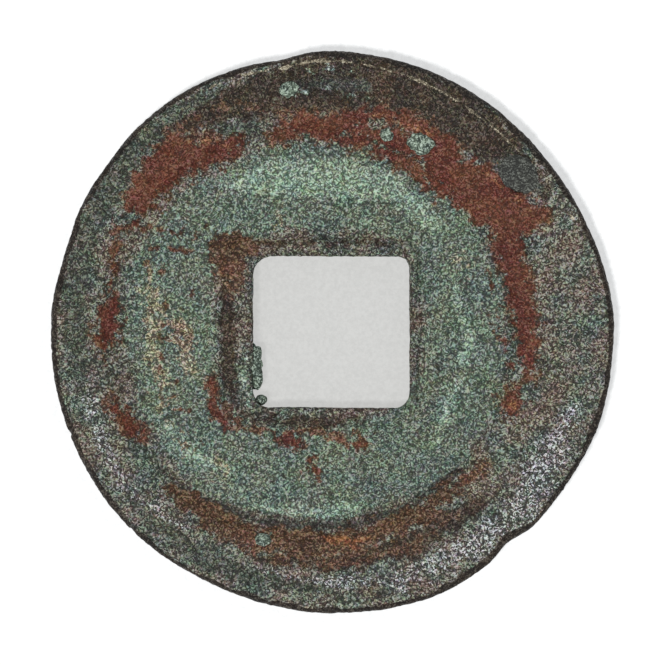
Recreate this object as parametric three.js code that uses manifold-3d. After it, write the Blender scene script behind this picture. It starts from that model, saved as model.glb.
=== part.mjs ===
import * as THREE from 'three';
import { mergeVertices } from 'three/addons/utils/BufferGeometryUtils.js';
import Module from 'manifold-3d';

// A cast bronze cash coin with a square hole, worn and crusted by burial. It lies flat with its
// plain reverse up. Millimetres, +Z up, and +Y points to the top of the coin as it is read.
// The origin is under the middle of the coin, on the plane that it lies on.

const wasm = await Module();
wasm.setup();

// The blank: one disc with a worn, rounded edge
const coinDiameter = 25;
const rimThickness = 1.4;
const edgeRoundingWidth = 0.34;
const edgeRoundingHeight = 0.3;
const edgeWearWidth = 0.35;
const edgeWearAngle = -40;
const edgeWearSpan = 34;

// Swellings and nicks of the outline: direction and half width in degrees, rise in millimetres
const outlineMarks = [
  { angle: 5, span: 12, rise: 0.16 },
  { angle: 40, span: 22, rise: -0.16 },
  { angle: 90, span: 6, rise: 0.07 },
  { angle: 101, span: 4, rise: -0.07 },
  { angle: 122, span: 14, rise: 0.12 },
  { angle: 162, span: 7, rise: -0.1 },
  { angle: 248, span: 14, rise: -0.1 },
  { angle: 292, span: 10, rise: 0.11 },
  { angle: 310, span: 4, rise: -0.25 },
  { angle: 343, span: 10, rise: 0.15 },
];

// The square hole, filed through after casting
const holeWidth = 7.04;
const holeHeight = 6.81;
const holeCentre = { x: 0.01, y: 0.05 };
const holeCorners = { topLeft: 0.9, topRight: 0.55, bottomRight: 0.7, bottomLeft: 0.75 };
const holeChamfer = 0.12;

// The reverse: a sunken field inside a broad rim, shifted because the mould halves slipped
const reverse = {
  rimWidth: 4.0,
  stepRun: 1.2,
  relief: 0.35,
  shift: { x: -1.0, y: 0 },
  borderHeight: 0.22,
  borderWidth: { left: 1.45, right: 0.45, top: 0.8, bottom: 0.85 },
  borderCorner: 1.1,
};

// The obverse: the same parts, struck deeper and true to the hole
const obverse = {
  rimWidth: 2.9,
  stepRun: 0.5,
  relief: 0.3,
  shift: { x: 0.15, y: -0.1 },
  borderHeight: 0.28,
  borderWidth: { left: 0.55, right: 0.55, top: 0.55, bottom: 0.55 },
  borderCorner: 0.8,
};
const borderRounding = 0.2;
const borderRoot = 0.1;

// Mineral crusts that stand on the bronze. Each keeps the seat gap to the metal under it.
const seatGap = 0.04;
const wallCrust = { length: 2.05, thickness: 0.42, height: 0.8, lowEnd: 0.82, bumps: 4, waviness: 0.3 };
const cornerNodule = { across: 0.62, height: 0.7, inset: 0.3 };
const stepNodules = [
  { name: 'band_nodule_left', angle: 68.6, fromFoot: 1.03, length: 0.75, width: 0.6, height: 0.17, turn: 20 },
  { name: 'band_nodule_right', angle: 59.5, fromFoot: 1.36, length: 1.35, width: 0.75, height: 0.15, turn: -35 },
  { name: 'step_nodule_low', angle: -102.6, fromFoot: 0.98, length: 0.75, width: 0.6, height: 0.16, turn: 10 },
];
const rimNodule = { angle: 99.9, fromEdge: 1.42, length: 0.95, width: 0.7, height: 0.14, turn: 15 };
const flake = { angle: 40.2, fromEdge: 1.5, length: 2.1, width: 1.75, depth: 0.2, sunk: 0.03, turn: -42 };
const flakeMargin = 0.08;

// Fineness of the meshes
const outlineSteps = 144;
const fieldSteps = 108;
const stepRings = 5;
const cutterReach = 1;

const coinRadius = coinDiameter / 2;
const reverseFieldRadius = coinRadius - reverse.rimWidth;
const holeBox = {
  left: holeCentre.x - holeWidth / 2,
  right: holeCentre.x + holeWidth / 2,
  bottom: holeCentre.y - holeHeight / 2,
  top: holeCentre.y + holeHeight / 2,
};
const up = new THREE.Vector3(0, 0, 1);

const bronze = new THREE.MeshStandardMaterial({ color: 0x6c7568, roughness: 0.7, metalness: 0.45 });
const malachiteCrust = new THREE.MeshStandardMaterial({ color: 0xa3b3a0, roughness: 0.95, metalness: 0 });
const slateCrust = new THREE.MeshStandardMaterial({ color: 0x4e4e48, roughness: 0.6, metalness: 0 });

const degrees = THREE.MathUtils.degToRad;

// A closed mesh as a solid: only positions, shared corners merged, empty triangles left out
function solidFrom(geometry) {
  const bare = geometry.clone();
  bare.deleteAttribute('normal');
  bare.deleteAttribute('uv');
  const merged = mergeVertices(bare, 1e-5);
  const index = merged.getIndex().array;
  const triangles = [];
  for (let i = 0; i < index.length; i += 3) {
    const [a, b, c] = [index[i], index[i + 1], index[i + 2]];
    if (a !== b && b !== c && c !== a) triangles.push(a, b, c);
  }
  return new wasm.Manifold(new wasm.Mesh({
    numProp: 3,
    vertProperties: new Float32Array(merged.getAttribute('position').array),
    triVerts: new Uint32Array(triangles),
  }));
}

function geometryFrom(solid) {
  const mesh = solid.getMesh();
  const geometry = new THREE.BufferGeometry();
  geometry.setAttribute('position', new THREE.BufferAttribute(new Float32Array(mesh.vertProperties), 3));
  geometry.setIndex(new THREE.BufferAttribute(new Uint32Array(mesh.triVerts), 1));
  geometry.computeVertexNormals();
  return geometry;
}

// A bell of height one round one direction of the outline
function bell(angle, middle, span) {
  const away = THREE.MathUtils.euclideanModulo(angle - middle + 180, 360) - 180;
  return Math.exp(-((away / span) ** 2));
}

// Radius of the worn outline in a direction, in degrees from +X
function outlineRadius(angle) {
  return outlineMarks.reduce((radius, mark) => radius + mark.rise * bell(angle, mark.angle, mark.span), coinRadius);
}

// Width of the edge rounding, wider on the side where the edge is worn most
function roundingWidth(angle) {
  return edgeRoundingWidth + edgeWearWidth * bell(angle, edgeWearAngle, edgeWearSpan);
}

// The disc: a revolved profile whose edge rings then follow the worn outline
function wornBlank() {
  const lip = [0, Math.PI / 4, Math.PI / 2];
  const shares = [];
  for (const turn of lip) {
    shares.push({ inward: 1 - Math.sin(turn), level: edgeRoundingHeight * (1 - Math.cos(turn)) });
  }
  for (const turn of lip.toReversed()) {
    const level = rimThickness - edgeRoundingHeight * (1 - Math.cos(turn));
    shares.push({ inward: 1 - Math.sin(turn), level });
  }
  const profile = [new THREE.Vector2(0, 0)];
  for (const { inward, level } of shares) {
    profile.push(new THREE.Vector2(coinRadius - edgeRoundingWidth * inward, level));
  }
  profile.push(new THREE.Vector2(0, rimThickness));
  const disc = new THREE.LatheGeometry(profile, outlineSteps);
  disc.rotateX(Math.PI / 2);

  const corner = new THREE.Vector3();
  const position = disc.getAttribute('position');
  for (let i = 0; i < position.count; i++) {
    corner.fromBufferAttribute(position, i);
    const radius = Math.hypot(corner.x, corner.y);
    if (radius < edgeRoundingWidth) continue;
    const angle = THREE.MathUtils.radToDeg(Math.atan2(corner.y, corner.x));
    const inward = (coinRadius - radius) / edgeRoundingWidth;
    const worn = outlineRadius(angle) - roundingWidth(angle) * inward;
    position.setXY(i, corner.x * worn / radius, corner.y * worn / radius);
  }
  return solidFrom(disc);
}

// The metal missing over a field: a flat floor and a step that rises in a worn cosine to the rim
function fieldCutter(face) {
  const footRadius = coinRadius - face.rimWidth;
  const profile = [new THREE.Vector2(0, -face.relief)];
  for (let ring = 0; ring < stepRings; ring++) {
    const share = ring / stepRings;
    const level = -face.relief * (1 + Math.cos(Math.PI * share)) / 2;
    profile.push(new THREE.Vector2(footRadius + face.stepRun * share, level));
  }
  const last = profile.at(-1);
  const crest = footRadius + face.stepRun;
  const slope = -last.y / (crest - last.x);
  profile.push(new THREE.Vector2(crest + face.stepRun, face.stepRun * slope));
  profile.push(new THREE.Vector2(crest + face.stepRun, cutterReach));
  profile.push(new THREE.Vector2(0, cutterReach));
  const cutter = new THREE.LatheGeometry(profile, fieldSteps);
  cutter.rotateX(Math.PI / 2);
  return cutter;
}

// A rectangle with a round of its own at each corner
function roundedRectangle(box, corners) {
  const quarter = Math.PI / 2;
  const { topLeft, topRight, bottomRight, bottomLeft } = corners;
  const shape = new THREE.Shape();
  shape.absarc(box.right - bottomRight, box.bottom + bottomRight, bottomRight, -quarter, 0);
  shape.absarc(box.right - topRight, box.top - topRight, topRight, 0, quarter);
  shape.absarc(box.left + topLeft, box.top - topLeft, topLeft, quarter, 2 * quarter);
  shape.absarc(box.left + bottomLeft, box.bottom + bottomLeft, bottomLeft, 2 * quarter, 3 * quarter);
  return shape;
}

// The raised border round the hole, with rounded shoulders and a root sunk in the web
function borderBlock(face) {
  const box = {
    left: holeBox.left - face.borderWidth.left,
    right: holeBox.right + face.borderWidth.right,
    bottom: holeBox.bottom - face.borderWidth.bottom,
    top: holeBox.top + face.borderWidth.top,
  };
  const radius = face.borderCorner;
  const corners = { topLeft: radius, topRight: radius, bottomRight: radius, bottomLeft: radius };
  const block = new THREE.ExtrudeGeometry(roundedRectangle(box, corners), {
    depth: face.borderHeight + borderRoot - borderRounding,
    bevelThickness: borderRounding,
    bevelSize: borderRounding,
    bevelOffset: -borderRounding,
    bevelSegments: 2,
    curveSegments: 3,
  });
  return block;
}

// The hole: a straight filed shaft, opened by a small chamfer at the top of each border
function holeCutter(reverseCrest, obverseCrest) {
  const outline = roundedRectangle(holeBox, holeCorners);
  const shaft = new THREE.ExtrudeGeometry(outline, {
    depth: rimThickness + 2 * cutterReach,
    bevelEnabled: false,
    curveSegments: 3,
  });
  shaft.translate(0, 0, -cutterReach);
  const flare = new THREE.ExtrudeGeometry(outline, {
    depth: cutterReach,
    bevelThickness: holeChamfer,
    bevelSize: holeChamfer,
    bevelSegments: 1,
    curveSegments: 3,
  });
  const upper = flare.clone().translate(0, 0, reverseCrest);
  const lower = flare.clone().translate(0, 0, obverseCrest - cutterReach);
  return solidFrom(shaft).add(solidFrom(upper)).add(solidFrom(lower));
}

// The outline of the flake that fills a corroded pocket in the rim: an uneven rounded patch
function flakeShape(margin) {
  const points = [];
  const corners = 14;
  for (let i = 0; i < corners; i++) {
    const turn = 2 * Math.PI * i / corners;
    const uneven = 1 + 0.09 * Math.sin(2 * turn + 0.6) + 0.07 * Math.sin(3 * turn + 2);
    const along = (flake.length / 2 * uneven + margin) * Math.cos(turn);
    const across = (flake.width / 2 * uneven + margin) * Math.sin(turn);
    points.push(new THREE.Vector2(along, across));
  }
  return new THREE.Shape(points);
}

// Moves a shape made flat on the origin to a place given by direction and radius
function placedAt(geometry, centre, angle, radius, level, turn) {
  geometry.rotateZ(degrees(turn));
  const x = centre.x + radius * Math.cos(degrees(angle));
  const y = centre.y + radius * Math.sin(degrees(angle));
  return geometry.translate(x, y, level);
}

// Height of the reverse at a distance from the middle of its field
function reverseLevel(distance) {
  const share = THREE.MathUtils.clamp((distance - reverseFieldRadius) / reverse.stepRun, 0, 1);
  return rimThickness - reverse.relief * (1 + Math.cos(Math.PI * share)) / 2;
}

// The casting with its two fields, both borders, the hole and the pocket under the flake
function bronzeCasting() {
  const reverseFloor = rimThickness - reverse.relief;
  const reverseCutter = fieldCutter(reverse).translate(reverse.shift.x, reverse.shift.y, rimThickness);
  const obverseCutter = fieldCutter(obverse).rotateX(Math.PI).translate(obverse.shift.x, obverse.shift.y, 0);
  const borderBottom = reverseFloor - borderRoot;
  const reverseBorder = borderBlock(reverse).translate(0, 0, borderBottom);
  const obverseCrest = obverse.relief - obverse.borderHeight;
  const obverseBorder = borderBlock(obverse).translate(0, 0, obverseCrest + borderRounding);
  const pocket = new THREE.ExtrudeGeometry(flakeShape(flakeMargin), {
    depth: cutterReach,
    bevelEnabled: false,
  });
  placedAt(
    pocket, { x: 0, y: 0 }, flake.angle, coinRadius - flake.fromEdge,
    rimThickness - flake.sunk - flake.depth - flakeMargin, flake.turn,
  );
  return wornBlank()
    .subtract(solidFrom(reverseCutter))
    .subtract(solidFrom(obverseCutter))
    .add(solidFrom(reverseBorder))
    .add(solidFrom(obverseBorder))
    .subtract(holeCutter(reverseFloor + reverse.borderHeight, obverseCrest))
    .subtract(solidFrom(pocket));
}

// A crumbly lump: a squashed ball with a slow ripple over it
function lump(length, width, height) {
  const ball = new THREE.SphereGeometry(1, 12, 8);
  const corner = new THREE.Vector3();
  const position = ball.getAttribute('position');
  for (let i = 0; i < position.count; i++) {
    corner.fromBufferAttribute(position, i);
    const ripple = Math.sin(3.1 * corner.x + 1) * Math.cos(2.7 * corner.y - 0.5) * Math.cos(2 * corner.z);
    corner.multiplyScalar(1 + 0.12 * ripple);
    position.setXYZ(i, corner.x, corner.y, corner.z);
  }
  return ball.scale(length / 2, width / 2, height);
}

// What is left of a lump outside the metal, lifted off it by the seat gap
function seatedOn(casting, geometry, away) {
  const outside = solidFrom(geometry).subtract(casting);
  const step = away.clone().normalize().multiplyScalar(seatGap);
  return outside.translate([step.x, step.y, step.z]);
}

// Crumbs in a row on the left wall of the hole, flat at the back where they grip the filed bronze
function holeWallCrust() {
  const samples = 16;
  const points = [new THREE.Vector2(0, 0)];
  for (let i = 0; i <= samples; i++) {
    const share = i / samples;
    const swell = Math.sin(Math.PI * share) ** 0.5;
    const bump = 1 - wallCrust.waviness * Math.cos(Math.PI * wallCrust.bumps * share) ** 2;
    const thickness = wallCrust.thickness * (0.25 + 0.75 * swell) * bump;
    points.push(new THREE.Vector2(thickness, wallCrust.length * share));
  }
  points.push(new THREE.Vector2(0, wallCrust.length));
  const crust = new THREE.ExtrudeGeometry(new THREE.Shape(points), {
    depth: wallCrust.height,
    bevelEnabled: false,
  });
  const middle = (rimThickness - reverse.relief + obverse.relief) / 2;
  return crust.translate(
    holeBox.left + seatGap,
    holeBox.bottom + wallCrust.lowEnd,
    middle - wallCrust.height / 2,
  );
}

function cornerLump(casting) {
  const middle = (rimThickness - reverse.relief + obverse.relief) / 2;
  const ball = lump(cornerNodule.across, cornerNodule.across, cornerNodule.height / 2);
  ball.translate(holeBox.left + cornerNodule.inset, holeBox.bottom + cornerNodule.inset, middle);
  return seatedOn(casting, ball, new THREE.Vector3(1, 1, 0));
}

function stepLump(casting, { angle, fromFoot, length, width, height, turn }) {
  const radius = reverseFieldRadius + fromFoot;
  const ball = placedAt(
    lump(length, width, height), reverse.shift, angle, radius, reverseLevel(radius), turn,
  );
  return seatedOn(casting, ball, up);
}

function rimLump(casting) {
  const radius = coinRadius - rimNodule.fromEdge;
  const ball = placedAt(
    lump(rimNodule.length, rimNodule.width, rimNodule.height),
    { x: 0, y: 0 }, rimNodule.angle, radius, rimThickness, rimNodule.turn,
  );
  return seatedOn(casting, ball, up);
}

function rimFlake() {
  const plate = new THREE.ExtrudeGeometry(flakeShape(0), {
    depth: flake.depth,
    bevelEnabled: false,
  });
  return placedAt(
    plate, { x: 0, y: 0 }, flake.angle, coinRadius - flake.fromEdge,
    rimThickness - flake.sunk - flake.depth, flake.turn,
  );
}

const coin = new THREE.Group();

function addPiece(name, geometry, material) {
  const piece = new THREE.Mesh(geometry, material);
  piece.name = name;
  coin.add(piece);
}

const casting = bronzeCasting();
addPiece('bronze_casting', geometryFrom(casting), bronze);
addPiece('hole_wall_crust', holeWallCrust(), malachiteCrust);
addPiece('hole_corner_nodule', geometryFrom(cornerLump(casting)), malachiteCrust);
for (const nodule of stepNodules) {
  addPiece(nodule.name, geometryFrom(stepLump(casting, nodule)), malachiteCrust);
}
addPiece('top_rim_nodule', geometryFrom(rimLump(casting)), malachiteCrust);
addPiece('rim_flake', rimFlake(), slateCrust);

export default coin;
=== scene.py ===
import math

import bpy
import numpy as np
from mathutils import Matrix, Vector


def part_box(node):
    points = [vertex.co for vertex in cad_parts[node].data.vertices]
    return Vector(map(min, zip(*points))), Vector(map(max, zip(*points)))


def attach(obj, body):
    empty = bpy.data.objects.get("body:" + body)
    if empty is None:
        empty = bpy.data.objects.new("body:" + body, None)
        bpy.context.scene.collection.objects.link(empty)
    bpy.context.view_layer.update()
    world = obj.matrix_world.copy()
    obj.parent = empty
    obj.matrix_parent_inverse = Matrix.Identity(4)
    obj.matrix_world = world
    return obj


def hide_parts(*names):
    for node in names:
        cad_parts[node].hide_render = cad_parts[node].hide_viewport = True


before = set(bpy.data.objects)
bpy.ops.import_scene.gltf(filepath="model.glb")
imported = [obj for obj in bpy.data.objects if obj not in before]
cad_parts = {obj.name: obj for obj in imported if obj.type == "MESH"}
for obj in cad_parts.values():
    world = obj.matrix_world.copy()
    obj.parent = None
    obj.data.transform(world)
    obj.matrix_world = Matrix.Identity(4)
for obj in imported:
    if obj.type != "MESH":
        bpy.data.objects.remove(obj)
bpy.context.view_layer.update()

bl_info = {
    "name": "Buried Cash Coin",
    "version": (1, 0, 0),
    "blender": (4, 5, 0),
    "location": "View3D > Sidebar > Cash Coin",
    "description": "Dresses a cast bronze cash coin with its burial patina and crusts",
    "category": "Object",
}

# Sizes are in millimetres, +Y is the top of the coin and +Z comes out of its plain reverse
MM = 0.001
THICKNESS = float(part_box("bronze_casting")[1][2]) / MM
COIN_RADIUS = 12.5

# Swellings and nicks of the outline: direction and half width in degrees, rise in millimetres
OUTLINE_MARKS = [
    (5, 12, 0.16), (40, 22, -0.16), (90, 6, 0.07), (101, 4, -0.07), (122, 14, 0.12),
    (162, 7, -0.10), (248, 14, -0.10), (292, 10, 0.11), (310, 4, -0.25), (343, 10, 0.15),
]

# The rounding of the edge, and the width that the most worn side adds to it
ROUNDING_HEIGHT = 0.3
ROUNDING_WIDTH = 0.34
WORN_ROUNDING_WIDTH = 0.35
WORN_EDGE_ANGLE = -40
WORN_EDGE_SPAN = 34

# The hole's sides, its corner radii and the worn lip along it: width, drop as a share of the width,
# and where it starts
HOLE = {"left": -3.51, "right": 3.53, "bottom": -3.355, "top": 3.455}
HOLE_ROUNDS = {"top_left": 0.9, "top_right": 0.55, "bottom_right": 0.7, "bottom_left": 0.75}
HOLE_LIP = 0.22
HOLE_LIP_DROP = 0.6
HOLE_LIP_START = -0.05

# The two faces: field foot radius, step run, relief, middle of the field, border round the hole
REVERSE = {
    "foot": 8.5, "run": 1.2, "relief": 0.35, "middle": (-1.0, 0.0), "border_height": 0.22,
    "border": {"left": 1.45, "right": 0.45, "bottom": 0.85, "top": 0.8}, "border_round": 1.1,
}
OBVERSE = {
    "foot": 9.6, "run": 0.5, "relief": 0.3, "middle": (0.15, -0.1), "border_height": 0.28,
    "border": {"left": 0.55, "right": 0.55, "bottom": 0.55, "top": 0.55}, "border_round": 0.8,
}
BORDER_SHOULDER = 0.3

# The corroded pocket in the rim, filled by the slate flake, and the share of its half size at which
# its wall starts
POCKET = {"middle": (8.40, 7.10), "length": 2.1, "width": 1.75, "turn": -42, "depth": 0.16}
POCKET_WALL = 0.8

# The photograph's frame: 665 pixels a side, and the coin's middle and diameter in it
FRAME_PIXELS = 665
COIN_MIDDLE_PIXEL = (331.0, 333.0)
COIN_DIAMETER_PIXELS = 559.5

# Stains of the reverse, read off. A stroke is a chain of points with a half width at each,
# and a half width below zero only lets the strongest grains of the stain come through.
STAINS = {
    "cuprite": [
        [(-8.6, 5.9, 0.50), (-7.9, 6.9, 0.75), (-6.9, 7.9, 0.85), (-5.8, 7.9, 0.50), (-4.3, 8.4, 0.30)],
        [(-2.4, 8.9, 0.25), (-1.2, 9.3, 0.45), (0.2, 9.2, 0.50), (1.3, 9.7, 0.25), (2.2, 9.85, 0.20),
         (3.3, 9.6, 0.30), (4.5, 8.9, 0.40), (5.3, 8.1, 0.40)],
        [(0.2, 8.7, 0.25), (1.7, 8.4, 0.15), (3.0, 7.8, 0.15), (4.1, 7.1, 0.25), (5.0, 6.5, 0.40)],
        [(0.9, 9.1, 0.30), (2.6, 8.8, 0.35), (4.2, 8.1, 0.50), (5.0, 7.5, 0.50)],
        [(4.9, 7.3, 0.50), (6.1, 6.7, 1.00), (7.3, 5.9, 1.10), (8.4, 5.2, 0.80), (9.2, 5.3, 0.40)],
        [(7.9, 4.7, 0.75), (8.1, 3.2, 0.50), (8.4, 1.9, 0.55), (8.6, 0.9, 0.50), (8.8, -0.5, 0.30),
         (8.8, -1.7, 0.20)],
        [(7.0, 2.6, -0.15), (7.5, 0.4, -0.10), (8.1, -1.6, -0.10)],
        [(8.2, -2.5, 0.10), (8.1, -3.1, 0.35), (8.0, -3.6, 0.10)],
        [(-9.9, 0.9, 0.30), (-10.1, -0.4, 0.35)],
        [(-9.7, -3.4, 0.20), (-8.7, -4.3, 0.30)],
        [(-9.4, 5.0, -0.05), (-9.8, 2.4, -0.10), (-9.7, 1.2, 0.05)],
        [(-5.4, -2.1, 0.05), (-5.2, -3.2, 0.15), (-4.7, -4.1, 0.00)],
        [(-2.2, -4.6, 0.10), (-1.7, -4.9, 0.25)],
        [(-0.9, -5.8, 0.05), (-0.7, -6.2, 0.05)],
        [(0.5, -4.9, 0.00), (1.4, -5.0, 0.05)],
        [(-8.9, 5.0, 0.05), (-8.3, 4.7, -0.05)],
        [(-7.6, 4.6, -0.20), (-6.0, 4.3, -0.20), (-5.6, 4.8, -0.20)],
        [(-8.4, 3.9, -0.25), (-6.4, 3.6, -0.25)],
        [(-7.6, 3.4, -0.25), (-7.4, 0.6, -0.30), (-7.8, -2.6, -0.20), (-6.4, -3.6, -0.30)],
    ],
    "rust": [
        [(-7.2, -7.0, 0.30), (-5.4, -8.2, 0.55), (-3.6, -9.2, 0.60), (-1.4, -9.5, 0.60),
         (0.8, -9.4, 0.65), (2.9, -8.6, 0.50), (4.4, -7.8, 0.45), (6.7, -6.1, 0.25)],
        [(-2.6, -10.3, 0.00), (0.6, -10.4, 0.10), (3.6, -9.5, 0.15), (5.8, -8.0, 0.00)],
        [(-5.0, 3.8, 0.50), (-4.4, 3.8, 0.75), (-3.7, 3.8, 0.45)],
        [(-4.6, 3.3, 0.75), (-4.3, 2.5, 0.50), (-4.4, 1.6, 0.10)],
        [(-7.1, 8.4, 0.30), (-5.9, 8.8, 0.40), (-4.9, 8.5, 0.35)],
        [(-6.4, 9.4, -0.05), (-4.2, 10.3, 0.15), (-3.0, 9.9, 0.05), (-1.6, 9.9, 0.10)],
        [(-5.3, -1.7, 0.10), (-5.0, -3.0, 0.30), (-4.2, -4.1, 0.20), (-2.4, -4.4, 0.05),
         (-0.8, -4.4, 0.15), (0.8, -4.6, 0.05), (2.2, -4.5, -0.10)],
        [(-5.6, 3.2, -0.20), (-6.6, 1.0, -0.15), (-7.0, -3.4, -0.10), (-5.4, -5.4, -0.20)],
        [(-9.6, 4.6, 0.05), (-9.9, 2.0, 0.00), (-10.1, -1.2, 0.10)],
    ],
    "ember": [
        [(-0.3, -9.2, 0.00), (0.9, -9.35, 0.20), (1.9, -9.1, 0.00)],
        [(8.2, -2.8, -0.10), (8.1, -3.3, 0.05)],
        [(2.7, -8.5, -0.15), (3.9, -8.0, -0.15)],
        [(-4.5, 8.4, 0.00), (-6.4, 8.6, -0.05)],
        [(1.6, 9.8, -0.10), (4.6, 8.9, -0.05)],
        [(6.2, 7.5, -0.05), (8.9, 5.6, -0.05)],
    ],
    "olive": [
        [(-10.9, 4.9, 0.60), (-11.4, 2.0, 0.60), (-11.4, -1.0, 0.50), (-11.0, -2.6, 0.10)],
        [(-10.3, 5.8, 0.70), (-8.9, 7.9, 0.60), (-7.2, 9.7, 0.50), (-5.0, 11.0, 0.30)],
        [(-8.6, -7.9, 0.20), (-6.4, -9.7, 0.50), (-3.4, -11.0, 0.40), (0.0, -11.6, 0.10)],
        [(-5.2, 9.1, 0.35), (-3.8, 9.2, 0.35), (-2.8, 8.8, 0.10)],
    ],
    "earth": [
        [(-7.4, 8.8, 0.20), (-5.0, 10.0, 0.60), (-1.8, 10.9, 1.20), (1.0, 11.1, 1.40),
         (3.6, 10.7, 1.30), (6.0, 9.5, 1.20), (8.0, 7.9, 0.80), (9.6, 6.2, 0.20)],
        [(-4.7, 3.6, 0.25), (-4.6, 0.0, 0.35), (-4.5, -3.3, 0.35), (-3.4, -3.9, 0.20)],
        [(-3.2, -3.9, 0.25), (0.0, -4.1, 0.30), (3.2, -4.0, 0.30), (3.9, -3.4, 0.10)],
        [(-3.6, 3.95, 0.10), (0.0, 4.0, 0.05), (3.4, 4.0, 0.10)],
        [(-3.6, -10.1, 0.10), (0.0, -10.3, 0.40), (3.6, -9.5, 0.55), (6.6, -7.6, 0.35)],
    ],
    "field": [
        [(-7.0, 3.2, 1.70), (-7.2, 0.0, 2.00), (-6.9, -2.6, 1.80), (-4.8, -5.8, 1.80), (0.0, -6.4, 2.10),
         (3.6, -5.2, 1.90), (5.8, -2.6, 1.90), (6.1, 1.4, 1.70), (4.6, 5.0, 1.50), (1.8, 6.5, 1.90),
         (-2.2, 6.6, 1.90), (-5.4, 5.2, 1.60), (-7.0, 3.2, 1.70)],
    ],
    "bloom": [
        [(-4.6, 6.6, 0.30), (-2.6, 7.0, 0.80), (0.4, 6.9, 0.90), (2.6, 6.6, 0.60), (4.6, 4.9, 0.30)],
        [(-7.2, -4.4, 0.30), (-6.0, -5.6, 0.40), (-4.6, -6.2, 0.20)],
        [(-3.4, -7.8, 0.10), (-0.4, -8.0, 0.25), (1.4, -7.6, 0.00)],
        [(5.4, 2.6, 0.00), (6.2, -0.6, 0.20), (4.6, -5.2, 0.10)],
    ],
    "ochre": [
        [(-8.6, 2.0, -0.05), (-6.6, 0.0, 0.45), (-6.4, -1.6, 0.20)],
        [(-5.0, -5.6, 0.05), (-4.8, -6.8, 0.05)],
        [(-8.2, 3.2, -0.05), (-7.8, 1.4, 0.30), (-8.0, -0.8, 0.30), (-7.2, -3.8, 0.05), (-6.2, -5.4, 0.10)],
        [(-2.4, 5.6, 0.00), (-2.2, 4.8, 0.00)],
        [(5.4, 3.6, 0.00), (6.2, 2.8, 0.10)],
    ],
    "tin": [
        [(10.9, -3.4, 0.20), (9.6, -5.8, 0.70), (8.6, -7.8, 0.70), (6.2, -9.6, 0.50), (3.0, -11.0, 0.35)],
        [(2.0, -11.0, 0.10), (-1.4, -11.2, 0.25), (-4.6, -10.4, 0.15)],
        [(-11.0, -2.2, 0.10), (-10.2, -5.0, 0.25), (-8.8, -7.4, 0.10), (-6.6, -8.7, 0.15)],
        [(-11.3, 1.6, -0.20), (-11.2, -1.4, 0.00)],
    ],
    # Painted shade: a dark line at the foot of the bottom step, and along the top and right edges of the
    # hole
    "painted_step_shade": [
        [(-7.6, -6.2, -0.05), (-6.2, -7.2, 0.15), (-3.8, -8.2, 0.20), (-1.4, -8.7, 0.25), (1.2, -8.6, 0.25),
         (3.6, -7.7, 0.20), (5.8, -6.1, 0.10)],
        [(-3.3, 3.55, -0.10), (3.2, 3.6, -0.05), (3.7, 3.0, -0.05), (3.7, -3.0, -0.05)],
    ],
    "slate": [
        [(7.9, 7.7, 0.30), (8.6, 7.0, 0.50), (9.3, 6.4, 0.20)],
        [(5.3, 8.9, 0.20), (5.8, 8.2, 0.10)],
        [(7.4, 7.6, 0.20), (8.6, 6.3, 0.30)],
        [(-1.4, 11.1, 0.20), (1.4, 11.1, 0.30)],
        [(-8.7, -2.2, -0.05), (-8.4, -2.6, 0.05)],
    ],
    "crumbs": [
        [(-2.4, 10.6, 0.10), (-0.6, 10.9, 0.10), (1.6, 10.5, 0.00), (3.4, 10.2, -0.10)],
        [(-1.2, 11.7, 0.10), (0.8, 11.8, 0.20)],
        [(-8.4, 7.4, -0.15), (-7.2, 7.0, -0.15), (6.2, 6.4, -0.15), (8.2, 5.8, -0.10)],
        [(1.6, 9.2, -0.10), (2.5, 9.0, 0.10)],
        [(3.3, 8.9, 0.05), (4.1, 8.4, 0.15)],
        [(-3.05, -9.25, 0.15), (-2.9, -9.2, 0.15)],
        [(-3.75, -0.4, 0.10), (-3.85, -2.0, 0.20), (-3.7, -3.4, 0.20)],
        [(9.0, 9.0, -0.15), (11.2, 4.2, -0.10), (11.7, 1.4, 0.00), (11.4, -1.6, -0.10)],
        [(-9.2, 8.2, -0.20), (-11.3, 4.2, -0.20)],
    ],
}
# Width in millimetres over which a stain's mask falls from 1 to 0
STAIN_SOFTNESS = 1.6
# These stains also lie on the side that the photograph doesn't show, in chance patches whose mask
# swings round this level
CHANCE_STAINS = ("field", "cuprite", "earth")
CHANCE_LEVEL = 0.25
CHANCE_SWING = 0.35
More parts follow.
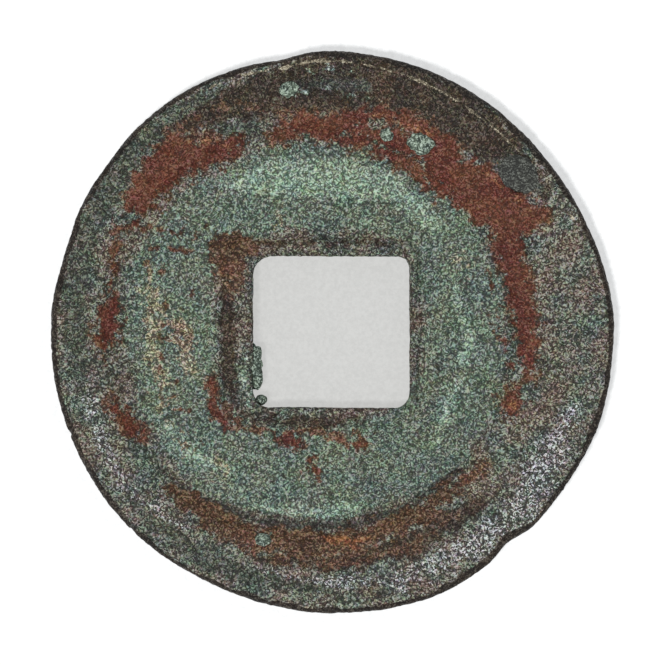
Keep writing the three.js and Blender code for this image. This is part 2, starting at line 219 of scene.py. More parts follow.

# Finishes: the two colours that a surface drifts between, the factors on its colour in the pores and
# on the grains, and the pale colour on the highest grains, partly mineral dust and partly painted sparkle,
# with its share
FINISHES = {
    "skin": ("#485149", "#5f5247", 0.19, 2.9, "#a4ab9f", 0.55),
    # Grey tin-rich patina on the lower rim; its highest grains carry the most dust and painted sparkle
    "tin": ("#575956", "#68635e", 0.16, 3.0, "#d8dada", 0.75),
    "olive": ("#3a4038", "#45463b", 0.22, 2.7, "#8b9386", 0.48),
    "earth": ("#27201a", "#362a1e", 0.32, 2.6, "#817b6e", 0.38),
    "field": ("#536057", "#5f6657", 0.23, 2.3, "#a2b0a0", 0.50),
    "bloom": ("#76887b", "#83927c", 0.23, 2.0, "#b9cbb8", 0.55),
    "ochre": ("#6f5f4b", "#83816a", 0.20, 2.5, "#c2c1aa", 0.60),
    # Painted shade for the foot of the bottom step and the hole's top and right edges
    "painted_step_shade": ("#292420", "#35322d", 0.30, 2.2, "#6c756c", 0.35),
    "slate": ("#333430", "#3f413a", 0.32, 2.4, "#868a7e", 0.40),
    "rust": ("#422d20", "#573d2b", 0.27, 2.3, "#9d8c7b", 0.42),
    "cuprite": ("#51251b", "#5d3623", 0.40, 1.8, "#90766a", 0.32),
    "ember": ("#6c4329", "#7d5134", 0.30, 2.1, "#b39479", 0.45),
    "crumbs": ("#6f7f74", "#869581", 0.26, 2.1, "#ccd6ca", 0.60),
    "edge": ("#14100d", "#221a14", 0.45, 2.8, "#7b766b", 0.35),
    # Worn bright crest with a painted highlight on it
    "crest": ("#6f6654", "#8a806c", 0.35, 2.0, "#d2ccba", 0.45),
    "malachite_crust": ("#566259", "#82907f", 0.24, 2.3, "#c6d0c4", 0.60),
    "slate_flake": ("#2c2d2a", "#3a3b36", 0.36, 2.6, "#8c8f87", 0.40),
}

# Stains and the painted step shade, in the order in which they are laid on the skin: mask, the mask's value
# at the border, how far grains tear that border, and finish. The cuprite lies in a halo of rust.
STAIN_LAYERS = [
    ("tin", 0.5, 1.8, "tin"), ("olive", 0.5, 1.0, "olive"), ("earth", 0.5, 1.0, "earth"),
    ("field", 0.5, 0.9, "field"), ("bloom", 0.5, 1.2, "bloom"), ("ochre", 0.5, 2.0, "ochre"),
    ("painted_step_shade", 0.5, 0.8, "painted_step_shade"), ("slate", 0.5, 0.7, "slate"), ("rust", 0.5, 1.4, "rust"),
    ("cuprite", 0.38, 1.8, "rust"), ("cuprite", 0.5, 1.2, "cuprite"), ("ember", 0.5, 1.0, "ember"),
    ("crumbs", 0.62, 1.6, "crumbs"),
]
# Shifts of hue over the stains: size of the grains in millimetres, and share
TINTS = [(0.14, 0.55), (0.9, 0.20)]
# What lies over stains and tints, as in STAIN_LAYERS: the dark edge ring, and the worn crest with its
# painted highlight
EDGE_LAYERS = [("edge", 0.5, 1.1, "edge"), ("crest", 0.64, 2.6, "crest")]
# How far the torn mask runs on either side of a border while the stain sets in
STAIN_BORDER = 0.08
# Sizes in millimetres of the blotches of colour, of the grains that tear borders and of those that
# differ in roughness, the range of that roughness and how metallic the skin is
BLOTCH_SIZE = 1.5
TEAR_SIZE = 0.5
ROUGH_SIZE = 0.1
ROUGH_RANGE = (0.45, 0.85)
METAL_SHARE = 0.1

# Grit of every surface: size in millimetres and share of the height for the winding ridges, the sand,
# the clumps and the mesh's own grains, the heights that read as pore and as grain, and the tone from
# which the dust and painted sparkle lie
WORM_SIZE = 0.21
WORM_TURNS = 1.8
WORM_SHARE = 0.42
SAND_SIZE = 0.08
SAND_SHARE = 0.75
CLUMP_SIZE = 0.26
CLUMP_SHARE = 0.30
MESH_GRAIN_SHARE = 0.05
PORE_HEIGHT = 0.53
GRAIN_HEIGHT = 1.05
DUST_AND_SPARKLE_START = 0.62
# Noise values between which a blotch goes over into the next
DRIFT = (0.35, 0.65)
# Gloss of porous burial salts, beside 0.5 for a clean surface
DULL_GLOSS = 0.2
# Height of the grit in the bump, in millimetres from pore to peak
BUMP_DEPTH = 0.03
FLAKE_BUMP_DEPTH = 0.025

# Fineness of the casting's mesh: points around, rings on each face, degrees of the rounding at which
# rings lie, and steps up the edge and the hole's wall
AROUND = 620
TOP_RINGS = 110
UNDER_RINGS = 22
TOP_TURNS = (15, 30, 45, 60, 75, 90)
UNDER_TURNS = (90, 60, 30)
EDGE_STEPS = 6
WALL_STEPS = 7

# Noises of the casting's skin: cell in millimetres and seed
RIDGES = (0.30, 11)
GRAINS = (0.17, 12)
PITS = (0.40, 13)
BROAD_SWELL = (2.3, 14)
SMALL_SWELL = (1.1, 15)
CHANCE_PATCHES = (3.4, 21)
BREAKS = (0.9, 31)
PIT_LEVELS = (0.5, 0.75)

# The dark ring along the edge: the share of the extra rounding that it covers, where it fades as
# shares of its width, and how far chance breaks it
EDGE_COVER = 0.3
EDGE_FADE = (0.2, 1.0)
EDGE_BREAK = 0.45
# The pale crest inside it, worn bright and painted with a highlight: direction and half width in degrees of
# the side that it lies on and of its swing inward, the reach of that swing, its inset as a share of the
# rounding, its own half width, its strength and how far chance breaks it
CREST_SIDE = (80, 75)
CREST_SWING = (52, 22)
CREST_SWING_REACH = 0.3
CREST_INSET = 1.15
CREST_HALF_WIDTH = 0.09
CREST_STRENGTH = 0.75
CREST_BREAK = 0.35

# Lumps: points around and rings of each ball, how far one reaches below its seat as a share of its
# height, and the cells and share of its crumbs. Flake: the same, the exponents that give it a flat
# top and steep sides, and the height of its wear.
CRUST_BALL = (120, 60)
CRUST_UNDER = 0.3
CRUMB_CELL = 0.40
SMALL_CRUMB_CELL = 0.16
CRUMB_SHARE = 0.20
FLAKE_BALL = (160, 80)
FLAKE_FLATNESS = 0.4
FLAKE_FULLNESS = 0.6
FLAKE_WEAR = 0.025

# The floor, in millimetres: half its side, its drop below the coin, the distances between which it
# goes from the hole's grey to white, and its paper grain, with the noise values between which its
# shade changes. Then its glow, and the glow's share at the hole and outside: the rest of the floor is
# lit by the suns and takes the shadow.
FLOOR_HALF = 2000.0
FLOOR_DROP = 0.08
FLOOR_CHANGE = (9.0, 10.5)
PAPER_GRAIN = 0.16
PAPER_DRIFT = (0.3, 0.7)
PAPER_SHADES = (0.91, 1.0)
FLOOR_GLOW = 1.3
GLOW_SHARES = (0.78, 0.45)

# Where the suns stand, the degrees over which they are spread, and the fill's share of the key
KEY_FROM = (-0.19, -0.21, 0.84)
KEY_SPREAD = 9
FILL_FROM = (0.5, 0.6, 0.7)
FILL_SPREAD = 60
FILL_SHARE = 0.12
AMBIENT_COLOUR = (0.93, 1.0, 1.04, 1.0)

# The camera's distance in millimetres, its sensor in millimetres and its clipping in metres
CAMERA_AWAY = 600.0
SENSOR = 36.0
CLIP_START = 0.05
CLIP_END = 20.0


def linear(hex_code):
    """The linear colour of an sRGB hex value."""
    channels = [int(hex_code[i:i + 2], 16) / 255 for i in (1, 3, 5)]
    return tuple(c / 12.92 if c <= 0.04045 else ((c + 0.055) / 1.055) ** 2.4 for c in channels)


def smooth(low, high, value):
    """Rises from 0 at low to 1 at high along 3t^2 - 2t^3."""
    share = np.clip((value - low) / (high - low), 0, 1)
    return share * share * (3 - 2 * share)


def lattice_noise(points, cell, seed):
    """Smooth noise from -1 to 1: random values on a cubic lattice of the given cell, blended along
    each axis by the same 3t^2 - 2t^3."""
    size = 64
    values = np.random.default_rng(seed).uniform(-1, 1, (size, size, size))
    place = points / cell
    base = np.floor(place).astype(int)
    weight = smooth(0, 1, place - base)
    total = np.zeros(points.shape[:-1])
    for corner in np.ndindex(2, 2, 2):
        share = np.prod(np.where(np.array(corner, bool), weight, 1 - weight), axis=-1)
        at = (base + corner) % size
        total += share * values[at[..., 0], at[..., 1], at[..., 2]]
    return total


def bell(angle, middle, span):
    """A bell of height one round one direction, in degrees: e to the minus (angle away / span)^2."""
    away = (angle - middle + 180) % 360 - 180
    return np.exp(-((away / span) ** 2))


def outline_radius(angle):
    """Radius of the worn outline: the coin's radius plus one bell for each mark."""
    return COIN_RADIUS + sum(rise * bell(angle, middle, span) for middle, span, rise in OUTLINE_MARKS)


def rounding_width(angle):
    """Width of the edge rounding: constant, plus one bell on the most worn side."""
    return ROUNDING_WIDTH + WORN_ROUNDING_WIDTH * bell(angle, WORN_EDGE_ANGLE, WORN_EDGE_SPAN)


def hole_radius(angle):
    """Distance from the middle to the hole's outline: the nearer of two sides, or the far crossing
    with a corner's circle where the side's crossing lies past the middle of that circle."""
    across, along = np.cos(np.radians(angle)), np.sin(np.radians(angle))
    side = np.where(across > 0, HOLE["right"], HOLE["left"])
    end = np.where(along > 0, HOLE["top"], HOLE["bottom"])
    upper = np.where(across > 0, HOLE_ROUNDS["top_right"], HOLE_ROUNDS["top_left"])
    lower = np.where(across > 0, HOLE_ROUNDS["bottom_right"], HOLE_ROUNDS["bottom_left"])
    corner = np.where(along > 0, upper, lower)
    reach = np.minimum(side / across, end / along)
    middle_x = side - np.sign(side) * corner
    middle_y = end - np.sign(end) * corner
    nearest = middle_x * across + middle_y * along
    root = nearest ** 2 - middle_x ** 2 - middle_y ** 2 + corner ** 2
    arc = nearest + np.sqrt(np.maximum(root, 0))
    past = (np.abs(reach * across) > np.abs(middle_x)) & (np.abs(reach * along) > np.abs(middle_y))
    return np.where(past, arc, reach)


def box_distance(x, y, box, corner):
    """Signed distance to a rectangle with equal round corners, below zero inside it."""
    half_x, half_y = (box["right"] - box["left"]) / 2, (box["top"] - box["bottom"]) / 2
    away_x = np.abs(x - (box["right"] + box["left"]) / 2) - half_x + corner
    away_y = np.abs(y - (box["top"] + box["bottom"]) / 2) - half_y + corner
    outside = np.hypot(np.maximum(away_x, 0), np.maximum(away_y, 0))
    return outside + np.minimum(np.maximum(away_x, away_y), 0) - corner


def sunk(x, y, face):
    """Depth of a face below its rim: the field's relief up a half cosine at the step, less the raised
    border, plus a rounded lip that falls away at the hole."""
    distance = np.hypot(x - face["middle"][0], y - face["middle"][1])
    share = np.clip((distance - face["foot"]) / face["run"], 0, 1)
    depth = face["relief"] * (1 + np.cos(np.pi * share)) / 2
    width = face["border"]
    border = {
        "left": HOLE["left"] - width["left"], "right": HOLE["right"] + width["right"],
        "bottom": HOLE["bottom"] - width["bottom"], "top": HOLE["top"] + width["top"],
    }
    inside = -box_distance(x, y, border, face["border_round"])
    depth = depth - face["border_height"] * smooth(-BORDER_SHOULDER / 2, BORDER_SHOULDER, inside)
    lip = box_distance(x, y, HOLE, HOLE_ROUNDS["bottom_right"])
    return depth + HOLE_LIP * HOLE_LIP_DROP * (1 - smooth(HOLE_LIP_START, HOLE_LIP, lip)) ** 2


def pocket_share(x, y):
    """One inside the flake's pocket and zero outside it: an ellipse with a short soft wall."""
    turn = math.radians(POCKET["turn"])
    away_x, away_y = x - POCKET["middle"][0], y - POCKET["middle"][1]
    along = (away_x * math.cos(turn) + away_y * math.sin(turn)) / (POCKET["length"] / 2)
    across = (away_y * math.cos(turn) - away_x * math.sin(turn)) / (POCKET["width"] / 2)
    return 1 - smooth(POCKET_WALL, 1, np.hypot(along, across))


def coin_section(angle):
    """The closed section of the coin at every direction, as rings of radius and height: out over the
    reverse, round the edge in two quarter ellipses, back under the obverse and up the hole's wall."""
    hole, outline, width = hole_radius(angle), outline_radius(angle), rounding_width(angle)
    across, along = np.cos(np.radians(angle)), np.sin(np.radians(angle))

    def face_ring(share, face):
        radius = hole + (outline - width - hole) * share
        return radius, sunk(radius * across, radius * along, face)

    rings = []
    for share in np.linspace(0, 1, TOP_RINGS):
        radius, depth = face_ring(share, REVERSE)
        depth = depth + POCKET["depth"] * pocket_share(radius * across, radius * along)
        rings.append((radius, THICKNESS - depth))
    for turn in np.radians(TOP_TURNS):
        drop = ROUNDING_HEIGHT * (1 - math.cos(turn))
        rings.append((outline - width * (1 - math.sin(turn)), np.full_like(angle, THICKNESS - drop)))
    for height in np.linspace(THICKNESS - ROUNDING_HEIGHT, ROUNDING_HEIGHT, EDGE_STEPS + 1)[1:-1]:
        rings.append((outline, np.full_like(angle, height)))
    for turn in np.radians(UNDER_TURNS):
        rise = ROUNDING_HEIGHT * (1 - math.cos(turn))
        rings.append((outline - width * (1 - math.sin(turn)), np.full_like(angle, rise)))
    for share in np.linspace(1, 0, UNDER_RINGS):
        radius, depth = face_ring(share, OBVERSE)
        rings.append((radius, depth))
    low, high = rings[-1][1], rings[0][1]
    for share in np.linspace(0, 1, WALL_STEPS + 1)[1:-1]:
        rings.append((hole, low + (high - low) * share))
    radii, heights = zip(*rings)
    return np.array(radii), np.array(heights)


def grid_normals(points):
    """Unit normals of a grid that closes both ways: the cross product of its two central
    differences."""
    outward = np.roll(points, -1, 0) - np.roll(points, 1, 0)
    around = np.roll(points, -1, 1) - np.roll(points, 1, 1)
    normal = np.cross(outward, around)
    return normal / np.maximum(np.linalg.norm(normal, axis=-1, keepdims=True), 1e-9)


def skin(points, sizes):
    """How far the skin stands off the cast form, and its grit. The grit is the mean of ridges, which
    are 1 where a noise is 0 and fall away on both sides, and of a finer noise. The skin's height is
    the sum of that grit, less the pits, and of a slow swell."""
    grit = 1 - np.abs(lattice_noise(points, *RIDGES)) * 2
    grit = 0.5 * grit + 0.5 * lattice_noise(points, *GRAINS)
    pits = smooth(*PIT_LEVELS, lattice_noise(points, *PITS))
    swell = lattice_noise(points, *BROAD_SWELL) + 0.5 * lattice_noise(points, *SMALL_SWELL)
    return sizes.grit_height * grit - sizes.pit_depth * pits + sizes.swell * swell, grit - pits


def stain_mask(x, y, strokes):
    """How far inside the nearest stroke a point lies, as 0.5 on its border, rising to 1 and falling
    to 0 over half a softness on either side."""
    inside = np.full_like(x, -np.inf)
    for stroke in strokes:
        for (start_x, start_y, start_width), (end_x, end_y, end_width) in zip(stroke, stroke[1:]):
            run_x, run_y = end_x - start_x, end_y - start_y
            share = ((x - start_x) * run_x + (y - start_y) * run_y) / (run_x ** 2 + run_y ** 2)
            share = np.clip(share, 0, 1)
            distance = np.hypot(x - start_x - share * run_x, y - start_y - share * run_y)
            width = start_width + share * (end_width - start_width)
            inside = np.maximum(inside, width - distance)
    return np.clip(0.5 + inside / STAIN_SOFTNESS, 0, 1)


def casting_masks(points, angle, radius, height):
    """Where the material lies on the casting: a mask for each stain and for the painted step shade, one for
    the dark ring, which fades with the distance from the outline, and one for the worn crest and its
    painted highlight, a bell across its line."""
    x, y = points[..., 0], points[..., 1]
    upper = (height > THICKNESS / 2).astype(float)
    patches = lattice_noise(points, *CHANCE_PATCHES) * CHANCE_SWING + CHANCE_LEVEL
    masks = {}
    for key, strokes in STAINS.items():
        below = patches if key in CHANCE_STAINS else np.zeros_like(x)
        masks[key] = stain_mask(x, y, strokes) * upper + below * (1 - upper)
    inset = outline_radius(angle) - radius
    width = rounding_width(angle)
    broken = lattice_noise(points, *BREAKS)
    ring = ROUNDING_WIDTH + EDGE_COVER * (width - ROUNDING_WIDTH)
    masks["edge"] = 1 - smooth(*EDGE_FADE, inset / ring + EDGE_BREAK * broken)
    crest_inset = width * CREST_INSET + CREST_SWING_REACH * bell(angle, *CREST_SWING)
    crest = np.exp(-(((inset - crest_inset) / CREST_HALF_WIDTH) ** 2)) * bell(angle, *CREST_SIDE)
    masks["crest"] = crest * (CREST_STRENGTH + CREST_BREAK * broken) * upper
    return masks


def closed_ball(around, rings):
    """Directions of a ball, from its upper to its lower pole, and its faces: quads between rings and
    a fan of triangles at each pole."""
    tilt = np.pi * np.arange(1, rings) / rings
    turn = 2 * np.pi * np.arange(around) / around
    tilt, turn = np.meshgrid(tilt, turn, indexing="ij")
    body = np.stack([np.sin(tilt) * np.cos(turn), np.sin(tilt) * np.sin(turn), np.cos(tilt)], -1)
    directions = np.concatenate([body.reshape(-1, 3), [[0, 0, 1], [0, 0, -1]]])
    index = np.arange((rings - 1) * around).reshape(rings - 1, around)
    beside = np.roll(index, -1, 1)
    quads = np.stack([index[:-1], index[1:], beside[1:], beside[:-1]], -1).reshape(-1, 4)
    top, bottom = len(directions) - 2, len(directions) - 1
    upper = np.stack([np.full(around, top), index[0], beside[0]], -1)
    lower = np.stack([np.full(around, bottom), beside[-1], index[-1]], -1)
    return directions, quads.tolist() + upper.tolist() + lower.tolist()


def new_piece(name, points, faces, material, node_name, attributes=None):
    """Makes a smooth mesh from points in millimetres and hangs it in the frame."""
    mesh = bpy.data.meshes.new(name)
    mesh.from_pydata((points * MM).tolist(), [], faces)
    mesh.polygons.foreach_set("use_smooth", np.ones(len(faces), bool))
    for key, values in (attributes or {}).items():
        layer = mesh.attributes.new(key, "FLOAT", "POINT")
        layer.data.foreach_set("value", values.astype(np.float32))
    mesh.materials.append(material)
    mesh.update()
    piece = bpy.data.objects.new(name, mesh)
    bpy.context.scene.collection.objects.link(piece)
    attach(piece, "root")
    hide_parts(node_name)
    return piece


def add_node(tree, kind, inputs=None, **settings):
    """Adds a node. Settings are its own properties; inputs gives a value or a link by socket."""
    made = tree.nodes.new(kind)
    for key, value in settings.items():
        setattr(made, key, value)
    for socket, value in (inputs or {}).items():
        if isinstance(value, bpy.types.NodeSocket):
            tree.links.new(value, made.inputs[socket])
        else:
            made.inputs[socket].default_value = value
    return made


def grain(tree, where, size, detail=2.0, rough=0.5, twist=0.0, output="Fac"):
    """Noise whose grains are about the given size in millimetres, from 0 to 1, or as colours."""
    return add_node(tree, "ShaderNodeTexNoise", {
        "Vector": where, "Scale": 1 / (size * MM), "Detail": detail, "Roughness": rough,
        "Distortion": twist,
    }).outputs[output]


def ramp(tree, value, low, high, start=0.0, end=1.0):
    """A value carried smoothly from one range to another."""
    return add_node(tree, "ShaderNodeMapRange", {
        "Value": value, "From Min": low, "From Max": high, "To Min": start, "To Max": end,
    }, interpolation_type="SMOOTHSTEP").outputs["Result"]


def maths(tree, operation, *values):
    """The result of one arithmetic operation on values or links."""
    return add_node(tree, "ShaderNodeMath", dict(enumerate(values)), operation=operation).outputs[0]


def scaled(tree, colour, factor):
    """A colour times a factor."""
    inputs = {0: colour, "Scale": factor}
    return add_node(tree, "ShaderNodeVectorMath", inputs, operation="SCALE").outputs[0]


def blend(tree, share, first, second, mode="MIX"):
    """A colour between two colours, each a hex value or a link. The node has its colours in sockets
    6 and 7, and its blended colour in socket 2."""
    colours = [(*linear(c), 1.0) if isinstance(c, str) else c for c in (first, second)]
    inputs = {0: share, 6: colours[0], 7: colours[1]}
    return add_node(tree, "ShaderNodeMix", inputs, data_type="RGBA", blend_type=mode).outputs[2]


def new_material(name):
    """An empty material, with its node tree and the place on the object in metres."""
    material = bpy.data.materials.new(name)
    material.use_nodes = True
    tree = material.node_tree
    tree.nodes.clear()
    where = add_node(tree, "ShaderNodeTexCoord").outputs["Object"]
    return material, tree, where


def wormed(tree, where, size, turns):
    """Winding ridges, from 0 to 1, with sharp dark gaps: the size of the sine of a smooth noise that is
    taken through some turns, so that each of its contours is drawn as a gap."""
    swell = grain(tree, where, size, detail=1.0, twist=0.4)
    wave = maths(tree, "SINE", maths(tree, "MULTIPLY", swell, 2 * math.pi * turns))
    return maths(tree, "ABSOLUTE", wave)


def speckled(tree, drift, tone, finish):
    """A finish with its grit: the colour drifts between its two hues, and runs in even ratios from
    dark times itself in the pores to light times itself on the grains, and the highest grains take a
    pale colour that is partly mineral dust and partly painted sparkle."""
    low, high, dark, light, dust_and_sparkle, dust_and_sparkle_share = FINISHES[finish]
    level = maths(tree, "MULTIPLY", maths(tree, "POWER", light / dark, tone), dark)
    shaded = scaled(tree, blend(tree, drift, low, high), level)
    dust_and_sparkle_amount = maths(tree, "MULTIPLY", ramp(tree, tone, DUST_AND_SPARKLE_START, 1.0), dust_and_sparkle_share)
    return blend(tree, dust_and_sparkle_amount, shaded, dust_and_sparkle)


def tinted(tree, where, colour, size, share):
    """Shifts the hue from grain to grain, because each is its own mix of salts of copper and tin."""
    return blend(tree, share, colour, grain(tree, where, size, rough=0.6, output="Color"), "SOFT_LIGHT")


def finish_surface(tree, colour, rough, height, depth, metallic):
    """The surface shader with the grit's height as bump, in millimetres from pore to peak. Burial
    salts are porous and dull, so the gloss is kept well under that of a clean surface."""
    bump = add_node(tree, "ShaderNodeBump", {"Height": height, "Distance": depth * MM, "Strength": 1.0})
    surface = add_node(tree, "ShaderNodeBsdfPrincipled", {
        "Base Color": colour, "Roughness": rough, "Normal": bump.outputs[0], "Metallic": metallic,
        "Specular IOR Level": DULL_GLOSS,
    })
    add_node(tree, "ShaderNodeOutputMaterial", {"Surface": surface.outputs[0]})


def gritty(tree, where, lift=None):
    """The tone of the grit, from 0 in a pore to 1 on a grain, and its height: winding ridges of
    carbonate, fine sand and clumps between them and, where given, the larger grains of the mesh."""
    parts = [
        (wormed(tree, where, WORM_SIZE, WORM_TURNS), WORM_SHARE),
        (grain(tree, where, SAND_SIZE, rough=0.6), SAND_SHARE),
        (grain(tree, where, CLUMP_SIZE, rough=0.6), CLUMP_SHARE),
    ]
    if lift is not None:
        parts.append((lift, MESH_GRAIN_SHARE))
    height = 0.0
    for part, share in parts:
        height = maths(tree, "ADD", height, maths(tree, "MULTIPLY", part, share))
    tone = add_node(tree, "ShaderNodeMapRange", {
        "Value": height, "From Min": PORE_HEIGHT, "From Max": GRAIN_HEIGHT,
    })
    return tone.outputs["Result"], height


def patinated_bronze():
    """Cast leaded bronze after long burial, never polished. The eye reads a matt gritty skin of
    green carbonate grains over dark pores, broken by red cuprite, rust and brown earth."""
    material, tree, where = new_material("patinated_bronze")
    lift = add_node(tree, "ShaderNodeAttribute", attribute_name="grit").outputs["Fac"]
    tone, height = gritty(tree, where, lift)
    blotch = ramp(tree, grain(tree, where, BLOTCH_SIZE, detail=3.0, rough=0.6), *DRIFT)
    torn = maths(tree, "SUBTRACT", grain(tree, where, TEAR_SIZE, detail=4.0, rough=0.7), 0.5)

    def stained(below, key, border, tear, finish):
        """Lays one stain, painted shade or painted highlight over what is below, with a border broken up by
        grains.
        """
        above = speckled(tree, blotch, tone, finish)
        mask = add_node(tree, "ShaderNodeAttribute", attribute_name=key).outputs["Fac"]
        ragged = maths(tree, "ADD", mask, maths(tree, "MULTIPLY", torn, tear))
        return blend(tree, ramp(tree, ragged, border - STAIN_BORDER, border + STAIN_BORDER), below, above)

    colour = speckled(tree, blotch, tone, "skin")
    for layer in STAIN_LAYERS:
        colour = stained(colour, *layer)
    for size, share in TINTS:
        colour = tinted(tree, where, colour, size, share)
    for layer in EDGE_LAYERS:
        colour = stained(colour, *layer)

    rough = ramp(tree, grain(tree, where, ROUGH_SIZE), *DRIFT, *ROUGH_RANGE)
    finish_surface(tree, colour, rough, height, BUMP_DEPTH, METAL_SHARE)
    return material


def crust_material(finish, blotch_size, rough, depth):
    """A gritty crust without metal, named for its finish."""
    material, tree, where = new_material(finish)
    tone, height = gritty(tree, where)
    blotch = ramp(tree, grain(tree, where, blotch_size), *DRIFT)
    finish_surface(tree, speckled(tree, blotch, tone, finish), rough, height, depth, 0.0)
    return material


def malachite():
    """Crumbly green copper carbonate: pale, dusty and dull, with darker pores between crumbs."""
    return crust_material("malachite_crust", blotch_size=0.3, rough=0.9, depth=BUMP_DEPTH)


def slate_flake():
    """A dense dark corrosion flake: grey slate, a little smoother than the grit round it."""
    return crust_material("slate_flake", blotch_size=0.7, rough=0.6, depth=FLAKE_BUMP_DEPTH)


class CashCoinSizes(bpy.types.PropertyGroup):
    """Heights of the skin's relief"""
    grit_height: bpy.props.FloatProperty(
        name="Grit height", description="Height of the grains that stand on the skin, in mm",
        default=0.05, min=0.0, max=0.2)
    pit_depth: bpy.props.FloatProperty(
        name="Pit depth", description="Depth of the corrosion pits, in mm",
        default=0.09, min=0.0, max=0.3)
    swell: bpy.props.FloatProperty(
        name="Swell", description="Height of the slow unevenness of the cast faces, in mm",
        default=0.04, min=0.0, max=0.2)


class CashCoinLight(bpy.types.PropertyGroup):
    """Light and floor of the stage"""
    key_strength: bpy.props.FloatProperty(
        name="Key strength", description="Strength of the soft key from the lower left",
        default=2.2, min=0.0)
    ambient: bpy.props.FloatProperty(
        name="Ambient", description="Strength of the even light from all round",
        default=0.40, min=0.0)
    floor_colour: bpy.props.FloatVectorProperty(
        name="Floor colour", description="Colour of the floor that the coin lies on",
        subtype="COLOR", size=3, default=linear("#fcfcfc"))
    hole_colour: bpy.props.FloatVectorProperty(
        name="Hole colour", description="Colour of the floor as it shows through the hole",
        subtype="COLOR", size=3, default=linear("#c3c3c1"))


class CASHCOIN_OT_casting(bpy.types.Operator):
    """Builds the worn bronze casting with its patina"""
    bl_idname = "cashcoin.casting"
    bl_label = "Bronze casting"

    def execute(self, context):
        angle = (np.arange(AROUND) + 0.5) * 360 / AROUND
        radius, height = coin_section(angle)
        across, along = np.cos(np.radians(angle)), np.sin(np.radians(angle))
        points = np.stack([radius * across, radius * along, height], -1)
        lift, grit = skin(points, context.scene.cash_coin_sizes)
        points = points + grid_normals(points) * lift[..., None]
        masks = casting_masks(points, angle, radius, height)
        masks["grit"] = grit

        index = np.arange(points.shape[0] * AROUND).reshape(points.shape[0], AROUND)
        outer, beside = np.roll(index, -1, 0), np.roll(index, -1, 1)
        faces = np.stack([index, outer, np.roll(outer, -1, 1), beside], -1).reshape(-1, 4)
        attributes = {key: values.ravel() for key, values in masks.items()}
        new_piece("coin_casting", points.reshape(-1, 3), faces.tolist(), patinated_bronze(),
                  "bronze_casting", attributes)
        return {"FINISHED"}


class CASHCOIN_OT_crusts(bpy.types.Operator):
    """Builds the pale green lumps that grew on the bronze"""
    bl_idname = "cashcoin.crusts"
    bl_label = "Green crusts"

    # Node, the axis along which the lump grows from the low face of its solid's box, and seed
    LUMPS = [
        ("hole_wall_crust", 0, 41), ("hole_corner_nodule", 2, 42), ("band_nodule_left", 2, 43),
        ("band_nodule_right", 2, 44), ("step_nodule_low", 2, 45), ("top_rim_nodule", 2, 46),
    ]

    def execute(self, context):
        material = malachite()
        for node_name, growth, seed in self.LUMPS:
            low, high = (np.array(corner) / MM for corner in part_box(node_name))
            middle, half = (low + high) / 2, (high - low) / 2
            middle[growth] = low[growth]
            half[growth] = high[growth] - low[growth]
            directions, faces = closed_ball(*CRUST_BALL)
            directions[:, growth] *= np.where(directions[:, growth] < 0, CRUST_UNDER, 1.0)
            points = middle + directions * half
            crumb = lattice_noise(points, CRUMB_CELL, seed)
            crumb = crumb + 0.7 * lattice_noise(points, SMALL_CRUMB_CELL, seed + 10)
            points = middle + directions * half * (1 + CRUMB_SHARE * crumb)[:, None]
            new_piece(node_name + "_mineral", points, faces, material, node_name)
        return {"FINISHED"}


class CASHCOIN_OT_flake(bpy.types.Operator):
    """Builds the slate-grey flake in the corroded pocket of the rim"""
    bl_idname = "cashcoin.flake"
    bl_label = "Rim flake"

    def execute(self, context):
        low, high = (np.array(corner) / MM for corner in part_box("rim_flake"))
        middle = (low + high) / 2
        half_height = (high[2] - low[2]) / 2
        directions, faces = closed_ball(*FLAKE_BALL)
        side = np.hypot(directions[:, 0], directions[:, 1])
        turn = np.arctan2(directions[:, 1], directions[:, 0])
        # The outline is uneven by waves of two, three, and seven times four turns round it
        uneven = 1 + 0.09 * np.sin(2 * turn + 0.6) + 0.07 * np.sin(3 * turn + 2)
        uneven = uneven + 0.07 * np.sin(7 * turn + 1) * np.cos(4 * turn)
        flat = np.sign(directions[:, 2]) * np.abs(directions[:, 2]) ** FLAKE_FLATNESS
        stretch = side ** FLAKE_FULLNESS / np.maximum(side, 1e-9) * uneven
        along = directions[:, 0] * stretch * POCKET["length"] / 2
        across = directions[:, 1] * stretch * POCKET["width"] / 2
        tilt = math.radians(POCKET["turn"])
        points = np.stack([
            middle[0] + along * math.cos(tilt) - across * math.sin(tilt),
            middle[1] + along * math.sin(tilt) + across * math.cos(tilt),
            middle[2] + half_height * flat,
        ], -1)
        worn = lattice_noise(points, 0.5, 51) + 0.5 * lattice_noise(points, 0.25, 52)
        points[:, 2] += FLAKE_WEAR * worn * (directions[:, 2] > 0)
        new_piece("rim_flake_slate", points, faces, slate_flake(), "rim_flake")
        return {"FINISHED"}


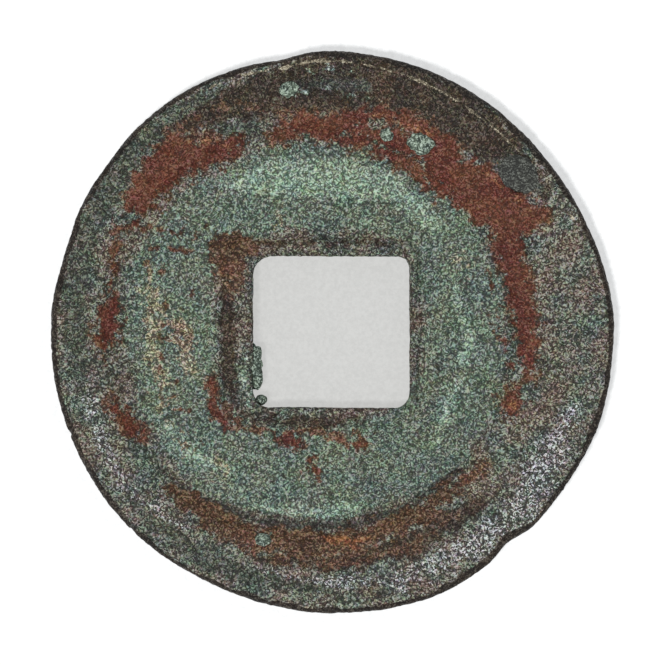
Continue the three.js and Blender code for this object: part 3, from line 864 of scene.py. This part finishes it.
class CASHCOIN_OT_stage(bpy.types.Operator):
    """Builds the floor, the soft light and the camera"""
    bl_idname = "cashcoin.stage"
    bl_label = "Stage"

    def execute(self, context):
        light = context.scene.cash_coin_light
        self.add_floor(light)
        self.add_world(context.scene, light)
        self.add_lamp("key", KEY_FROM, light.key_strength, KEY_SPREAD)
        self.add_lamp("fill", FILL_FROM, light.key_strength * FILL_SHARE, FILL_SPREAD)
        self.add_camera(context.scene)
        context.scene.view_settings.view_transform = "Standard"
        return {"FINISHED"}

    def background_ray(self, tree):
        """One for rays from the eye, a mirror or glass, and zero for rays that carry light."""
        path = add_node(tree, "ShaderNodeLightPath").outputs
        mirrored = maths(tree, "MAXIMUM", path["Is Glossy Ray"], path["Is Transmission Ray"])
        return maths(tree, "MAXIMUM", path["Is Camera Ray"], mirrored)

    def add_floor(self, light):
        """White floor that keeps the coin's shadow, and is light grey where the hole shows it."""
        material, tree, where = new_material("paper_floor")
        distance = add_node(tree, "ShaderNodeVectorMath", {0: where}, operation="LENGTH").outputs["Value"]
        near, far = (change * MM for change in FLOOR_CHANGE)
        out = ramp(tree, distance, near, far)
        colours = [(*colour, 1.0) for colour in (light.hole_colour, light.floor_colour)]
        fibres = grain(tree, where, PAPER_GRAIN, detail=3.0, rough=0.7)
        mottle = ramp(tree, fibres, *PAPER_DRIFT, *PAPER_SHADES)
        paper = scaled(tree, blend(tree, out, *colours), mottle)
        lit = add_node(tree, "ShaderNodeBsdfDiffuse", {"Color": paper}).outputs[0]
        glow = add_node(tree, "ShaderNodeEmission", {"Color": paper, "Strength": FLOOR_GLOW}).outputs[0]
        share = ramp(tree, distance, near, far, *GLOW_SHARES)
        share = maths(tree, "MULTIPLY", self.background_ray(tree), share)
        mixed = add_node(tree, "ShaderNodeMixShader", {0: share, 1: lit, 2: glow}).outputs[0]
        add_node(tree, "ShaderNodeOutputMaterial", {"Surface": mixed})
        half = FLOOR_HALF * MM
        mesh = bpy.data.meshes.new("floor")
        corners = [(-half, -half), (half, -half), (half, half), (-half, half)]
        mesh.from_pydata([(x, y, -FLOOR_DROP * MM) for x, y in corners], [], [(0, 1, 2, 3)])
        mesh.materials.append(material)
        floor = bpy.data.objects.new("floor", mesh)
        bpy.context.scene.collection.objects.link(floor)

    def add_world(self, scene, light):
        """Even light from all round, in front of a background that the eye sees as plain white."""
        world = bpy.data.worlds.new("studio")
        world.use_nodes = True
        tree = world.node_tree
        tree.nodes.clear()
        even, white = (
            add_node(tree, "ShaderNodeBackground", {"Color": colour, "Strength": strength}).outputs[0]
            for colour, strength in ((AMBIENT_COLOUR, light.ambient), ((1.0, 1.0, 1.0, 1.0), 1.0))
        )
        mixed = add_node(tree, "ShaderNodeMixShader", {0: self.background_ray(tree), 1: even, 2: white})
        add_node(tree, "ShaderNodeOutputWorld", {"Surface": mixed.outputs[0]})
        scene.world = world

    def add_lamp(self, name, source, strength, spread):
        """A sun that shines from the given direction, softened over a disc of spread degrees."""
        lamp = bpy.data.lights.new(name, "SUN")
        lamp.energy = strength
        lamp.angle = math.radians(spread)
        holder = bpy.data.objects.new(name, lamp)
        holder.rotation_euler = Vector(source).to_track_quat("Z", "Y").to_euler()
        bpy.context.scene.collection.objects.link(holder)

    def add_camera(self, scene):
        """A long lens straight above, framed so that the coin has the photograph's place and size."""
        scale = COIN_DIAMETER_PIXELS / (2 * COIN_RADIUS)
        frame_width = FRAME_PIXELS / scale
        middle = FRAME_PIXELS / 2
        lens = bpy.data.cameras.new("camera")
        lens.sensor_width = SENSOR
        lens.lens = SENSOR * CAMERA_AWAY / frame_width
        lens.clip_start = CLIP_START
        lens.clip_end = CLIP_END
        camera = bpy.data.objects.new("camera", lens)
        camera.location = (
            (middle - COIN_MIDDLE_PIXEL[0]) / scale * MM,
            (COIN_MIDDLE_PIXEL[1] - middle) / scale * MM,
            (THICKNESS + CAMERA_AWAY) * MM,
        )
        scene.collection.objects.link(camera)
        scene.camera = camera


class CASHCOIN_PT_panel(bpy.types.Panel):
    """Lists the settings and the operators in the sidebar"""
    bl_idname = "CASHCOIN_PT_panel"
    bl_label = "Cash Coin"
    bl_space_type = "VIEW_3D"
    bl_region_type = "UI"
    bl_category = "Cash Coin"

    def draw(self, context):
        layout = self.layout
        for group in (context.scene.cash_coin_sizes, context.scene.cash_coin_light):
            for key in group.__annotations__:
                layout.prop(group, key)
        for operator in OPERATORS:
            layout.operator(operator.bl_idname)


OPERATORS = [CASHCOIN_OT_stage, CASHCOIN_OT_casting, CASHCOIN_OT_crusts, CASHCOIN_OT_flake]
CLASSES = [CashCoinSizes, CashCoinLight, *OPERATORS, CASHCOIN_PT_panel]


def register():
    """Registers the classes and hangs the two groups of settings on the scene."""
    for cls in CLASSES:
        bpy.utils.register_class(cls)
    bpy.types.Scene.cash_coin_sizes = bpy.props.PointerProperty(type=CashCoinSizes)
    bpy.types.Scene.cash_coin_light = bpy.props.PointerProperty(type=CashCoinLight)


def unregister():
    """Takes back what register did, in the opposite order."""
    del bpy.types.Scene.cash_coin_light
    del bpy.types.Scene.cash_coin_sizes
    for cls in reversed(CLASSES):
        bpy.utils.unregister_class(cls)


def main():
    """Builds the stage and the coin."""
    register()
    bpy.ops.cashcoin.stage()
    bpy.ops.cashcoin.casting()
    bpy.ops.cashcoin.crusts()
    bpy.ops.cashcoin.flake()


if __name__ == "__main__":
    main()
